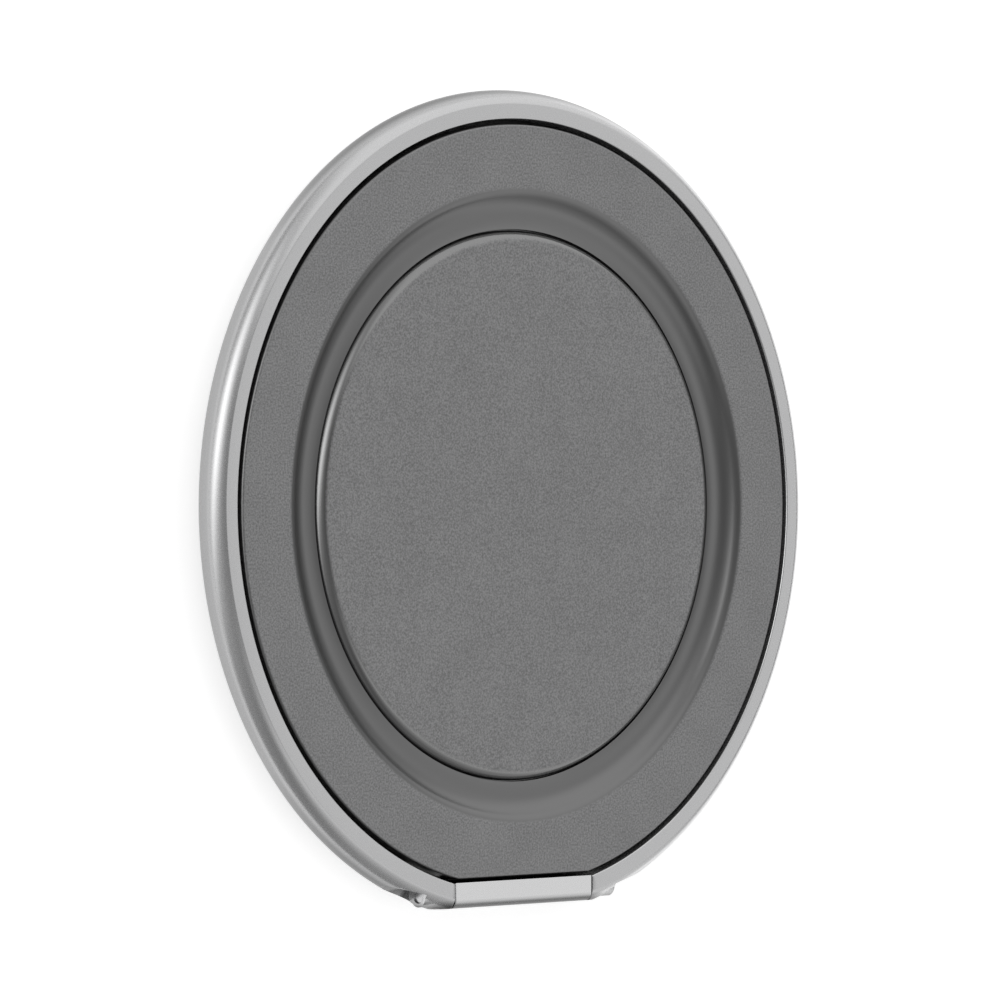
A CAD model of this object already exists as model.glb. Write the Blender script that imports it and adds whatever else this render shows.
import math

import bpy
from mathutils import Matrix, Vector


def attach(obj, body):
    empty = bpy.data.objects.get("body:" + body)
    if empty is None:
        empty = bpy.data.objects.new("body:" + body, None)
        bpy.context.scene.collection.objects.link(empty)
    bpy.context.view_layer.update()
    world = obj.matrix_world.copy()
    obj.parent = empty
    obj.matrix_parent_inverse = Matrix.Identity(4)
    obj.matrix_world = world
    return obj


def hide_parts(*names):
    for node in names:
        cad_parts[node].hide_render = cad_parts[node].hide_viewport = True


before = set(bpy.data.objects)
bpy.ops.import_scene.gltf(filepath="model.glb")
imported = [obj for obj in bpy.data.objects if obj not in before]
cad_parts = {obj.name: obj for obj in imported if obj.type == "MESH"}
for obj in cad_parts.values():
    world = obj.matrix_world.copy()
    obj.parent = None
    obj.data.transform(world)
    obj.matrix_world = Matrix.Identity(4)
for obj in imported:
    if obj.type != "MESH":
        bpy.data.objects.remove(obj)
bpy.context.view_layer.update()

MM = 0.001

# Camera: the grip lies on its back and is seen from its left, half way up.
# The lens is long, and the camera is rolled so that the hinge is at the bottom of the picture.
FACE_TOP = 4.4 * MM
view_turn = math.radians(44.65)
toward = Vector((-math.sin(view_turn), 0.0, math.cos(view_turn)))
upward = Vector((0.0, 1.0, 0.0))
rightward = upward.cross(toward)
eye_distance = 457 * MM
face_middle = Vector((0.0, 0.0, FACE_TOP))
eye = face_middle + toward * eye_distance - rightward * (1.816 * MM) + upward * (0.399 * MM)

camera_data = bpy.data.cameras.new("photo_camera")
camera_data.sensor_width = 36.0
camera_data.lens = 223.2
camera_data.clip_start = 0.01
camera_data.clip_end = 10.0
camera = bpy.data.objects.new("photo_camera", camera_data)
bpy.context.scene.collection.objects.link(camera)
camera.matrix_world = Matrix((
    (rightward.x, upward.x, toward.x, eye.x),
    (rightward.y, upward.y, toward.y, eye.y),
    (rightward.z, upward.z, toward.z, eye.z),
    (0.0, 0.0, 0.0, 1.0),
))
bpy.context.scene.camera = camera
bpy.context.scene.view_settings.view_transform = "Standard"

# Studio: a pale floor and a soft room that gives all the light.
# The floor shows white to the camera and keeps a faint shadow around the grip.
# It lies a hair under the soft pad and is clear from below, so the back of the grip can be seen.


def inner_socket(group, name, kind, way, value=None):
    socket = group.interface.new_socket(name=name, in_out=way, socket_type=kind)
    if value is not None:
        socket.default_value = value
    return socket


def seen_rays(nodes, links):
    """1 on rays that see the backdrop directly, in a reflection or through glass."""
    path = nodes.new("ShaderNodeLightPath")
    glossy = nodes.new("ShaderNodeMath")
    glossy.operation = "ADD"
    links.new(path.outputs["Is Camera Ray"], glossy.inputs[0])
    links.new(path.outputs["Is Glossy Ray"], glossy.inputs[1])
    total = nodes.new("ShaderNodeMath")
    total.operation = "ADD"
    total.use_clamp = True
    links.new(glossy.outputs[0], total.inputs[0])
    links.new(path.outputs["Is Transmission Ray"], total.inputs[1])
    return total.outputs[0]


bpy.ops.object.select_all(action="DESELECT")
floor_drop = 0.02 * MM
bpy.ops.mesh.primitive_plane_add(size=4.0, location=(0.0, 0.0, -floor_drop))
floor = bpy.context.active_object
floor.name = "studio_floor"
floor_material = bpy.data.materials.new("studio_floor_paint")
floor_material.use_nodes = True
nodes = floor_material.node_tree.nodes
links = floor_material.node_tree.links
nodes.clear()
floor_out = nodes.new("ShaderNodeOutputMaterial")
floor_lit = nodes.new("ShaderNodeBsdfDiffuse")
floor_lit.inputs["Color"].default_value = (0.80, 0.80, 0.80, 1.0)
floor_glow = nodes.new("ShaderNodeEmission")
floor_glow.inputs["Color"].default_value = (0.7, 0.7, 0.7, 1.0)
links.new(seen_rays(nodes, links), floor_glow.inputs["Strength"])
floor_sum = nodes.new("ShaderNodeAddShader")
links.new(floor_lit.outputs[0], floor_sum.inputs[0])
links.new(floor_glow.outputs[0], floor_sum.inputs[1])
floor_side = nodes.new("ShaderNodeNewGeometry")
floor_clear = nodes.new("ShaderNodeBsdfTransparent")
floor_mix = nodes.new("ShaderNodeMixShader")
links.new(floor_side.outputs["Backfacing"], floor_mix.inputs["Fac"])
links.new(floor_sum.outputs[0], floor_mix.inputs[1])
links.new(floor_clear.outputs[0], floor_mix.inputs[2])
links.new(floor_mix.outputs[0], floor_out.inputs["Surface"])
floor.data.materials.append(floor_material)

# The room has a pale panel to the right of the face, a dark front, and light from above and below on that side.
# On the camera's side a soft glow, high and leaning, gives the long highlight on the ring.
room = bpy.data.worlds.new("soft_room")
bpy.context.scene.world = room
room.use_nodes = True


def tree_math(tree, operation, *values):
    """One step of arithmetic in a node tree; each value is a number or the output of another step."""
    step = tree.nodes.new("ShaderNodeMath")
    step.operation = operation
    for place, value in zip(step.inputs, values):
        if isinstance(value, (int, float)):
            place.default_value = value
        else:
            tree.links.new(value, place)
    return step.outputs[0]


def sky_math(operation, *values):
    """One step of arithmetic in the room's light."""
    return tree_math(room.node_tree, operation, *values)


def sky_ramp(value, low, high, stops):
    """A smooth run of light levels between the given stops, with value going from low to high."""
    share = sky_math("DIVIDE", sky_math("SUBTRACT", value, low), high - low)
    levels = room.node_tree.nodes.new("ShaderNodeValToRGB")
    levels.color_ramp.interpolation = "EASE"
    for n, (at, level) in enumerate(stops):
        place = (at - low) / (high - low)
        stop = levels.color_ramp.elements[n] if n < 2 else levels.color_ramp.elements.new(place)
        stop.position = place
        stop.color = (level, level, level, 1.0)
    room.node_tree.links.new(share, levels.inputs["Fac"])
    return sky_math("MULTIPLY", levels.outputs["Color"], 1.0)


def sky_glow(turn, turn_middle, lean, turn_spread, lift, lift_middle, lift_spread, level):
    """A soft patch of light that fades smoothly to all sides and leans a little as it rises."""
    middle = sky_math("MULTIPLY_ADD", lift, lean, turn_middle)
    aside = sky_math("DIVIDE", sky_math("SUBTRACT", turn, middle), turn_spread)
    above = sky_math("DIVIDE", sky_math("SUBTRACT", lift, lift_middle), lift_spread)
    far = sky_math("ADD", sky_math("MULTIPLY", aside, aside), sky_math("MULTIPLY", above, above))
    return sky_math("MULTIPLY", sky_math("EXPONENT", sky_math("MULTIPLY", far, -1.0)), level)


sky_way = room.node_tree.nodes.new("ShaderNodeTexCoord")
sky_parts = room.node_tree.nodes.new("ShaderNodeSeparateXYZ")
room.node_tree.links.new(sky_way.outputs["Generated"], sky_parts.inputs[0])
sky_x, sky_y, sky_z = sky_parts.outputs
sky_turn = sky_math("MULTIPLY", sky_math("ARCTAN2", sky_x, sky_z), 180 / math.pi)
around = sky_ramp(sky_turn, -180, 180, (
    (-180, 0.5), (-120, 0.6), (-95, 0.56), (-72, 0.42), (-45, 0.34), (-22, 0.26), (0, 0.2),
    (12, 0.24), (20, 0.34), (30, 0.58), (38, 0.69), (43, 0.72), (50, 0.85), (56, 0.66),
    (64, 0.42), (76, 0.3), (92, 0.25), (130, 0.25), (180, 0.5),
))
low_left = sky_ramp(sky_y, -1, 1, ((-1, 0.75), (-0.75, 0.75), (-0.25, 1.0), (1, 1.0)))
aloft = sky_ramp(sky_y, -1, 1, (
    (-1, 0.3), (-0.9, 0.3), (-0.7, 0.5), (-0.45, 0.85), (0.0, 0.85), (0.4, 0.95), (1, 0.95),
))
aloft_share = sky_ramp(sky_y, -1, 1, ((-1, 1), (-0.5, 1), (-0.15, 0), (0.15, 0), (0.5, 1), (1, 1)))
right_share = sky_ramp(sky_x, -1, 1, ((-1, 0), (-0.3, 0), (0.2, 1), (1, 1)))
mixed_share = sky_math("MULTIPLY", aloft_share, right_share)
left_level = sky_math("MULTIPLY", around, sky_math("MAXIMUM", low_left, right_share))
even_level = sky_math("MULTIPLY_ADD", sky_math("SUBTRACT", aloft, left_level), mixed_share, left_level)
glow = sky_glow(sky_turn, -63.0, 32.0, 25.0, sky_y, 0.34, 0.4, 1.5)
band = sky_glow(sky_turn, -69.0, 32.0, 10.0, sky_y, -0.1, 0.62, 0.65)
sky_level = sky_math("ADD", even_level, sky_math("ADD", glow, band))
room.node_tree.links.new(sky_level, room.node_tree.nodes["Background"].inputs["Color"])
room.node_tree.nodes["Background"].inputs["Strength"].default_value = 1.0

# Swinging ring: one piece of aluminium, bead blasted and anodised, satin silver.
# It is turned from bar, then cut flat at the hinge with two ears that hold the pin.
AROUND = 360


def clear_selection():
    if bpy.context.mode != "OBJECT":
        bpy.ops.object.mode_set(mode="OBJECT")
    bpy.ops.object.select_all(action="DESELECT")


def arc(centre_r, centre_z, radius, start, end, steps):
    """Points of an arc of an outline, as radius and height in millimetres."""
    return [
        (
            centre_r + radius * math.cos(math.radians(start + (end - start) * i / steps)),
            centre_z + radius * math.sin(math.radians(start + (end - start) * i / steps)),
        )
        for i in range(steps + 1)
    ]


def turned(name, outline, closed=True, around=AROUND):
    """A lathe-turned piece: a circle extruded, scaled and lifted from point to point of the outline."""
    clear_selection()
    r, z = outline[0]
    bpy.ops.mesh.primitive_circle_add(
        vertices=around, radius=r * MM, fill_type="NOTHING", location=(0.0, 0.0, z * MM)
    )
    piece = bpy.context.active_object
    piece.name = name
    bpy.ops.object.transform_apply(location=True, rotation=True, scale=True)
    bpy.ops.object.mode_set(mode="EDIT")
    bpy.ops.mesh.select_all(action="SELECT")
    for next_r, next_z in outline[1:] + (outline[:1] if closed else []):
        bpy.ops.mesh.extrude_edges_move()
        grow = next_r / r
        bpy.ops.transform.resize(value=(grow, grow, 1.0), center_override=(0.0, 0.0, 0.0))
        bpy.ops.transform.translate(value=(0.0, 0.0, (next_z - z) * MM))
        r, z = next_r, next_z
    bpy.ops.mesh.select_all(action="SELECT")
    bpy.ops.mesh.remove_doubles(threshold=0.000002)
    bpy.ops.mesh.normals_make_consistent(inside=False)
    bpy.ops.object.mode_set(mode="OBJECT")
    return piece


def block(name, low, high):
    """A plain rectangular cutter between two corners in millimetres."""
    clear_selection()
    centre = [(a + b) / 2 * MM for a, b in zip(low, high)]
    bpy.ops.mesh.primitive_cube_add(size=1.0, location=centre)
    piece = bpy.context.active_object
    piece.name = name
    piece.scale = [(b - a) * MM for a, b in zip(low, high)]
    bpy.ops.object.transform_apply(location=True, rotation=True, scale=True)
    return piece


def rounded_bar(name, low, high, top_round, back_round):
    """A bar between two corners, with its two long edges toward the hinge side rounded."""
    piece = block(name, low, high)
    for height, size in ((high[2], top_round), (low[2], back_round)):
        if not size:
            continue
        bpy.ops.object.mode_set(mode="EDIT")
        bpy.ops.mesh.select_mode(type="EDGE")
        bpy.ops.mesh.select_all(action="DESELECT")
        bpy.ops.object.mode_set(mode="OBJECT")
        for edge in piece.data.edges:
            ends = [piece.data.vertices[n].co for n in edge.vertices]
            edge.select = all(
                abs(end.y - low[1] * MM) < 0.01 * MM and abs(end.z - height * MM) < 0.01 * MM for end in ends
            )
        bpy.ops.object.mode_set(mode="EDIT")
        bpy.ops.mesh.bevel(offset=size * MM, segments=14, affect="EDGES")
        bpy.ops.object.mode_set(mode="OBJECT")
    return piece


def joined_by(piece, other, way):
    """Cuts, joins or keeps the overlap of two pieces, and removes the second."""
    clear_selection()
    piece.select_set(True)
    bpy.context.view_layer.objects.active = piece
    cut = piece.modifiers.new("cut", "BOOLEAN")
    cut.operation = way
    cut.solver = "EXACT"
    cut.object = other
    bpy.ops.object.modifier_apply(modifier=cut.name)
    bpy.data.objects.remove(other, do_unlink=True)
    return piece


def softened(piece, width, segments=3, angle=38):
    """Small rounds on every sharp edge, then smooth shading that keeps flats flat."""
    clear_selection()
    piece.select_set(True)
    bpy.context.view_layer.objects.active = piece
    bpy.ops.object.mode_set(mode="EDIT")
    bpy.ops.mesh.select_all(action="SELECT")
    bpy.ops.mesh.remove_doubles(threshold=0.000002)
    bpy.ops.mesh.dissolve_degenerate(threshold=0.000001)
    bpy.ops.object.mode_set(mode="OBJECT")
    if width:
        bevel = piece.modifiers.new("edge_rounds", "BEVEL")
        bevel.width = width * MM
        bevel.segments = segments
        bevel.limit_method = "ANGLE"
        bevel.angle_limit = math.radians(angle)
        bevel.use_clamp_overlap = True
        bpy.ops.object.modifier_apply(modifier=bevel.name)
    bpy.ops.object.shade_smooth_by_angle(angle=math.radians(angle))
    flats = piece.modifiers.new("flat_faces", "WEIGHTED_NORMAL")
    flats.keep_sharp = True
    flats.weight = 100
    bpy.ops.object.modifier_apply(modifier=flats.name)
    return piece


# The turned ring ends a thousandth of a millimetre inside the bar that cuts its flat edge.
ring_front = 4.399
ring_back = 2.101
ring_in_r = 28.47
ring_out_r = 30.645
lip_round = 0.12
crease_r = 29.549
crease_round = 0.3
crease_turn = 70.3
front_round = 1.5
front_crown = 0.07
back_round = 0.84
inner_back_round = 0.9
ring_outline = (
    arc(ring_in_r + lip_round, ring_front - lip_round, lip_round, 180, 90, 4)
    + arc(crease_r, ring_front - crease_round, crease_round, 90, crease_turn, 4)
    + arc(ring_out_r - front_round, ring_front + front_crown - front_round, front_round, crease_turn, 0, 20)[1:]
    + arc(ring_out_r - back_round, ring_back + back_round, back_round, 0, -90, 12)
    + arc(ring_in_r + inner_back_round, ring_back + inner_back_round, inner_back_round, 270, 180, 10)
)
ring = turned("swinging_ring", ring_outline)

HINGE_Y = -28.49
HINGE_Z = 3.3
KNUCKLE_HALF = 0.96
ring_flat = HINGE_Y - KNUCKLE_HALF
keep = rounded_bar("ring_keep", (-34.0, ring_flat, 2.1), (34.0, 34.0, 4.4), 0.65, 0.95)
joined_by(ring, keep, "INTERSECT")



def rod(name, radius, length, across, around=64):
    """A round rod along the hinge line, with its middle at a place across the grip, in millimetres."""
    clear_selection()
    bpy.ops.mesh.primitive_cylinder_add(
        vertices=around, radius=radius * MM, depth=length * MM,
        location=(across * MM, HINGE_Y * MM, HINGE_Z * MM), rotation=(0.0, math.pi / 2, 0.0),
    )
    piece = bpy.context.active_object
    piece.name = name
    bpy.ops.object.transform_apply(location=True, rotation=True, scale=True)
    return piece


for side in (-1, 1):
    joined_by(ring, rod("ear", 0.75, 2.7, side * 8.5), "UNION")
    joined_by(ring, rod("pin_way", 0.95, 12, side * 15.85), "DIFFERENCE")
slot = block("hinge_slot", (-7.15, -34.0, -1.0), (7.15, -20.0, 8.0))
joined_by(ring, slot, "DIFFERENCE")
joined_by(ring, rod("pin_bore", 0.465, 60, 0.0, around=48), "DIFFERENCE")
softened(ring, 0.05, segments=2)
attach(ring, "ring")
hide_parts("ring_frame")


def grain_group():
    """Fine even grain: a tone that wanders slightly, and a height for the bump."""
    group = bpy.data.node_groups.new("fine_grain", "ShaderNodeTree")
    inner_socket(group, "Grain per metre", "NodeSocketFloat", "INPUT", 6000.0)
    inner_socket(group, "Cloud per metre", "NodeSocketFloat", "INPUT", 300.0)
    inner_socket(group, "Grain", "NodeSocketFloat", "OUTPUT")
    inner_socket(group, "Cloud", "NodeSocketFloat", "OUTPUT")
    nodes = group.nodes
    links = group.links
    into = nodes.new("NodeGroupInput")
    out = nodes.new("NodeGroupOutput")
    place = nodes.new("ShaderNodeTexCoord")
    fine = nodes.new("ShaderNodeTexNoise")
    fine.inputs["Detail"].default_value = 3.0
    fine.inputs["Roughness"].default_value = 0.6
    cloud = nodes.new("ShaderNodeTexNoise")
    cloud.inputs["Detail"].default_value = 2.0
    links.new(place.outputs["Object"], fine.inputs["Vector"])
    links.new(place.outputs["Object"], cloud.inputs["Vector"])
    links.new(into.outputs["Grain per metre"], fine.inputs["Scale"])
    links.new(into.outputs["Cloud per metre"], cloud.inputs["Scale"])
    links.new(fine.outputs["Fac"], out.inputs["Grain"])
    links.new(cloud.outputs["Fac"], out.inputs["Cloud"])
    return group


fine_grain = grain_group()


def eased(tree, value, reach, results=(0.0, 1.0)):
    """Maps a value from its reach to the given results, held at both ends."""
    step = tree.nodes.new("ShaderNodeMapRange")
    step.inputs["From Min"].default_value, step.inputs["From Max"].default_value = reach
    step.inputs["To Min"].default_value, step.inputs["To Max"].default_value = results
    tree.links.new(value, step.inputs["Value"])
    return step


def mixed(tree, kind, share, first, second, blend="MIX"):
    """Mixes two colours or numbers; share, first and second are values or outputs of other steps."""
    step = tree.nodes.new("ShaderNodeMix")
    step.data_type = kind
    if kind == "RGBA":
        step.blend_type = blend
    for name, value in (("Factor", share), ("A", first), ("B", second)):
        if isinstance(value, (float, tuple)):
            step.inputs[name].default_value = value
        else:
            tree.links.new(value, step.inputs[name])
    return step


def finish_material(name, dark, light, rough, rough_swing, grain, cloud, bump, metal=0.0, extra=None):
    """A surface whose colour, roughness and relief all carry the same fine grain."""
    material = bpy.data.materials.new(name)
    material.use_nodes = True
    tree = material.node_tree
    skin = tree.nodes["Principled BSDF"]
    skin.inputs["Metallic"].default_value = metal
    texture = tree.nodes.new("ShaderNodeGroup")
    texture.node_tree = fine_grain
    texture.inputs["Grain per metre"].default_value = grain
    texture.inputs["Cloud per metre"].default_value = cloud
    part_of_cloud = tree_math(tree, "MULTIPLY", texture.outputs["Cloud"], 0.1)
    blend = tree_math(tree, "MULTIPLY_ADD", texture.outputs["Grain"], 0.9, part_of_cloud)
    tone = eased(tree, blend, (0.35, 0.65)).outputs["Result"]
    colour = mixed(tree, "RGBA", tone, (*dark, 1.0), (*light, 1.0))
    tree.links.new(colour.outputs["Result"], skin.inputs["Base Color"])
    roughness = eased(tree, tone, (0.0, 1.0), (rough - rough_swing, rough + rough_swing))
    tree.links.new(roughness.outputs["Result"], skin.inputs["Roughness"])
    relief = tree.nodes.new("ShaderNodeBump")
    relief.inputs["Distance"].default_value = bump * MM
    relief.inputs["Strength"].default_value = 1.0
    tree.links.new(texture.outputs["Grain"], relief.inputs["Height"])
    tree.links.new(relief.outputs["Normal"], skin.inputs["Normal"])
    if extra:
        extra(tree, skin, colour, roughness, relief)
    return material


def wear(obj, material):
    """Puts one material on every slot of an object."""
    if not obj.data.materials:
        obj.data.materials.append(material)
    for place in obj.material_slots:
        place.material = material


def object_place(tree):
    """The place on the object and the parts of it, for shades that follow the shape."""
    place = tree.nodes.new("ShaderNodeTexCoord")
    parts = tree.nodes.new("ShaderNodeSeparateXYZ")
    tree.links.new(place.outputs["Object"], parts.inputs[0])
    return place, parts


def darker_sides(tree, skin, colour, roughness, relief):
    """On its outer side, and on the flat edge at the hinge, the metal is anodised a little darker."""
    place, parts = object_place(tree)
    facing = tree.nodes.new("ShaderNodeSeparateXYZ")
    tree.links.new(place.outputs["Normal"], facing.inputs[0])
    flat_place = tree.nodes.new("ShaderNodeVectorMath")
    flat_place.operation = "MULTIPLY"
    flat_place.inputs[1].default_value = (1.0, 1.0, 0.0)
    tree.links.new(place.outputs["Object"], flat_place.inputs[0])
    distance = tree.nodes.new("ShaderNodeVectorMath")
    distance.operation = "LENGTH"
    tree.links.new(flat_place.outputs["Vector"], distance.inputs[0])
    along = tree_math(tree, "ABSOLUTE", facing.outputs["Y"])
    side = eased(tree, parts.outputs["Z"], (3.35 * MM, 3.95 * MM), (0.59, 1.0)).outputs["Result"]
    inner = eased(tree, distance.outputs["Value"], (28.8 * MM, 29.2 * MM), (1.0, 0.0)).outputs["Result"]
    ends = eased(tree, along, (0.6, 0.95), (1.0, 0.3)).outputs["Result"]
    edge = eased(tree, parts.outputs["Y"], (-29.3 * MM, -28.8 * MM), (0.12, 1.0)).outputs["Result"]
    outer_side = tree_math(tree, "MAXIMUM", tree_math(tree, "MULTIPLY", side, ends), inner)
    least = tree_math(tree, "MINIMUM", outer_side, edge)
    darker = mixed(tree, "RGBA", 1.0, colour.outputs["Result"], least, blend="MULTIPLY")
    tree.links.new(darker.outputs["Result"], skin.inputs["Base Color"])
    return darker


ring_finish = finish_material(
    "satin_ring_metal", (0.62, 0.62, 0.625), (0.66, 0.66, 0.665), 0.25, 0.03, 9000.0, 260.0, 0.001, metal=0.9,
    extra=darker_sides,
)
wear(ring, ring_finish)

# Knuckle and pin: the fixed middle of the hinge and the steel pin through it.
# The knuckle is the same blasted metal, a little brighter, and its leaf is screwed inside the case.
knuckle = rounded_bar(
    "hinge_knuckle", (-7.05, ring_flat, 1.2), (7.05, HINGE_Y + KNUCKLE_HALF, 4.4), 0.65, 0.95
)
leaf = block("leaf", (-6.0, HINGE_Y, 1.2), (6.0, HINGE_Y + 13.0, 2.4))
joined_by(knuckle, leaf, "UNION")
softened(knuckle, 0.06, segments=3)
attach(knuckle, "base")
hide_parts("hinge_bracket")


def blackened_leaf(tree, skin, colour, roughness, relief):
    """The leaf behind the knuckle is blackened, so the gap above the knuckle stays dark."""
    darker = darker_sides(tree, skin, colour, roughness, relief)
    parts = object_place(tree)[1]
    knuckle_inner = HINGE_Y + KNUCKLE_HALF
    reach = ((knuckle_inner - 0.03) * MM, (knuckle_inner - 0.01) * MM)
    behind = eased(tree, parts.outputs["Y"], reach).outputs["Result"]
    blacken = mixed(tree, "RGBA", behind, darker.outputs["Result"], (0.012, 0.012, 0.012, 1.0))
    tree.links.new(blacken.outputs["Result"], skin.inputs["Base Color"])


knuckle_finish = finish_material(
    "satin_knuckle_metal", (0.84, 0.84, 0.845), (0.88, 0.88, 0.885), 0.26, 0.03, 9000.0, 260.0, 0.001, metal=0.95,
    extra=blackened_leaf,
)
wear(knuckle, knuckle_finish)

pin = rod("steel_hinge_pin", 0.46, 19.46, 0.0, around=48)
softened(pin, 0.08, segments=3)
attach(pin, "ring")
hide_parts("hinge_pin")
pin_finish = finish_material(
    "turned_pin_steel", (0.52, 0.52, 0.525), (0.62, 0.62, 0.625), 0.28, 0.05, 12000.0, 500.0, 0.003, metal=1.0
)
wear(pin, pin_finish)

# Dark face: a turned cover with a flat lower edge and a shallow groove.
# Aluminium, bead blasted and anodised dark grey, smoother in the groove and on its edges.
FACE_FRONT = 4.4
face_r = 28.1
face_edge = 0.2
groove_out_r = 23.65
groove_deep = 0.9
groove_lip = 1.35
groove_hollow = 2.15
groove_floor = 4.0
pocket_r = 20.37
groove_z = FACE_FRONT - groove_deep
groove_arm = groove_lip + groove_hollow
groove_rise = groove_arm - groove_deep
groove_run = math.sqrt(groove_arm**2 - groove_rise**2)
groove_low = groove_out_r - groove_run
floor_turn = math.degrees(math.asin((groove_low - 20.4) / groove_floor))
turn_at = math.degrees(math.atan2(groove_rise, groove_run))
face_outline = (
    [(0.3, 3.03), (pocket_r, 3.03), (pocket_r, groove_z + 0.07), (20.376, groove_z + 0.092)]
    + arc(groove_low, groove_z + groove_floor, groove_floor, -90 - floor_turn, -90, 6)
    + arc(groove_low, groove_z + groove_hollow, groove_hollow, -90, -turn_at, 16)[1:]
    + arc(groove_out_r, FACE_FRONT - groove_lip, groove_lip, 180 - turn_at, 90, 16)[1:]
    + arc(face_r - face_edge, FACE_FRONT - face_edge, face_edge, 90, 0, 8)
    + [(face_r, 2.04), (27.48, 2.04), (27.48, 3.5), (22.87, 3.5), (22.87, 2.48), (0.3, 2.48)]
)
cover = turned("dark_face", face_outline, closed=False, around=480)


def capped(piece):
    """Closes the small round openings left in the middle of a turned piece."""
    clear_selection()
    piece.select_set(True)
    bpy.context.view_layer.objects.active = piece
    bpy.ops.object.mode_set(mode="EDIT")
    bpy.ops.mesh.select_mode(type="VERT")
    bpy.ops.mesh.select_all(action="DESELECT")
    bpy.ops.mesh.select_non_manifold()
    bpy.ops.mesh.fill_holes(sides=0)
    bpy.ops.mesh.select_all(action="SELECT")
    bpy.ops.mesh.normals_make_consistent(inside=False)
    bpy.ops.object.mode_set(mode="OBJECT")


capped(cover)
face_keep = rounded_bar("face_keep", (-34.0, -27.28, -1.0), (34.0, 34.0, 4.4), 0.2, 0.0)
joined_by(cover, face_keep, "INTERSECT")
skirt = block("flat_skirt", (-6.6, -27.27, 2.48), (6.6, -26.66, 3.6))
joined_by(cover, skirt, "UNION")
leaf_way = block("leaf_way", (-6.08, -30.0, 1.0), (6.08, -26.06, 2.48))
joined_by(cover, leaf_way, "DIFFERENCE")
softened(cover, 0.0)
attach(cover, "base")
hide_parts("face_cover")


def smooth_below(flat_top, blend_depth, smooth_rough, smooth_tone, least_relief=0.35):
    """Keeps the grain for the flat top and leaves slopes and edges smoother and glossier."""

    def add(tree, skin, colour, roughness, relief):
        parts = object_place(tree)[1]
        reach = (flat_top - blend_depth, flat_top - blend_depth * 0.15)
        top = eased(tree, parts.outputs["Z"], reach).outputs["Result"]
        tree.links.new(tree_math(tree, "MAXIMUM", top, least_relief), relief.inputs["Strength"])
        pick = mixed(tree, "FLOAT", top, smooth_rough, roughness.outputs["Result"])
        tree.links.new(pick.outputs["Result"], skin.inputs["Roughness"])
        smooth_colour = (smooth_tone, smooth_tone, smooth_tone, 1.0)
        calm = mixed(tree, "RGBA", top, smooth_colour, colour.outputs["Result"])
        tree.links.new(calm.outputs["Result"], skin.inputs["Base Color"])

    return add


face_finish = finish_material(
    "blasted_dark_face", (0.21, 0.21, 0.212), (0.39, 0.39, 0.393), 0.42, 0.06, 6600.0, 350.0, 0.01, metal=0.95,
    extra=smooth_below(FACE_TOP, 0.06 * MM, 0.3, 0.21),
)
wear(cover, face_finish)

# Centre disc: a separate raised disc, taped into its pocket.
# The same dark grey metal, blasted on top, with a smoother rounded rim that dips into the groove.
DISC_TOP = 4.05
disc_r = 20.3
disc_rim = 0.86
disc_outline = (
    [(0.3, DISC_TOP - 0.9), (disc_r, DISC_TOP - 0.9)]
    + arc(disc_r - disc_rim, DISC_TOP - disc_rim, disc_rim, 0, 90, 20)
    + [(0.3, DISC_TOP)]
)
disc = turned("centre_disc_top", disc_outline, closed=False, around=480)
capped(disc)
softened(disc, 0.0)
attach(disc, "base")
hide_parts("centre_disc")
disc_finish = finish_material(
    "blasted_dark_disc", (0.21, 0.21, 0.212), (0.39, 0.39, 0.393), 0.42, 0.06, 6600.0, 350.0, 0.01, metal=0.95,
    extra=smooth_below(DISC_TOP * MM, 0.06 * MM, 0.18, 0.28),
)
wear(disc, disc_finish)

# Case, flange and back pad: the black moulded body and the soft face on the phone.
# The case is matt black plastic. The pad is thin silicone stuck over the screws.
case_finish = finish_material(
    "black_case_plastic", (0.018, 0.018, 0.018), (0.03, 0.03, 0.03), 0.5, 0.08, 4000.0, 300.0, 0.02
)
pad_finish = finish_material(
    "matt_silicone", (0.035, 0.035, 0.037), (0.055, 0.055, 0.058), 0.72, 0.06, 6500.0, 220.0, 0.015
)
for node, finish in (("base_tray", case_finish), ("back_pad", pad_finish)):
    wear(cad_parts[node], finish)

# Inside: magnets, shield, tape, sleeves and screws, each in its own finish.
# They sit closed in the case, so their CAD shapes stay and only their finishes are made here.
magnet_finish = finish_material(
    "nickel_plating", (0.62, 0.61, 0.59), (0.72, 0.71, 0.69), 0.22, 0.05, 8000.0, 400.0, 0.004, metal=1.0
)
shield_finish = finish_material(
    "rolled_steel", (0.48, 0.48, 0.49), (0.58, 0.58, 0.59), 0.38, 0.08, 7000.0, 300.0, 0.006, metal=1.0
)
tape_finish = finish_material(
    "foam_tape", (0.66, 0.65, 0.62), (0.78, 0.77, 0.74), 0.8, 0.05, 3500.0, 300.0, 0.02
)
sleeve_finish = finish_material(
    "bearing_plastic", (0.68, 0.67, 0.63), (0.76, 0.75, 0.71), 0.42, 0.05, 6000.0, 400.0, 0.008
)
screw_finish = finish_material(
    "screw_steel", (0.5, 0.5, 0.51), (0.62, 0.62, 0.63), 0.3, 0.06, 9000.0, 500.0, 0.005, metal=1.0
)
for node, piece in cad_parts.items():
    if node.startswith("magnet_"):
        wear(piece, magnet_finish)
wear(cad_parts["shield_ring"], shield_finish)
wear(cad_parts["disc_tape"], tape_finish)
wear(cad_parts["friction_sleeve_left"], sleeve_finish)
wear(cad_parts["friction_sleeve_right"], sleeve_finish)
wear(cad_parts["case_screws"], screw_finish)
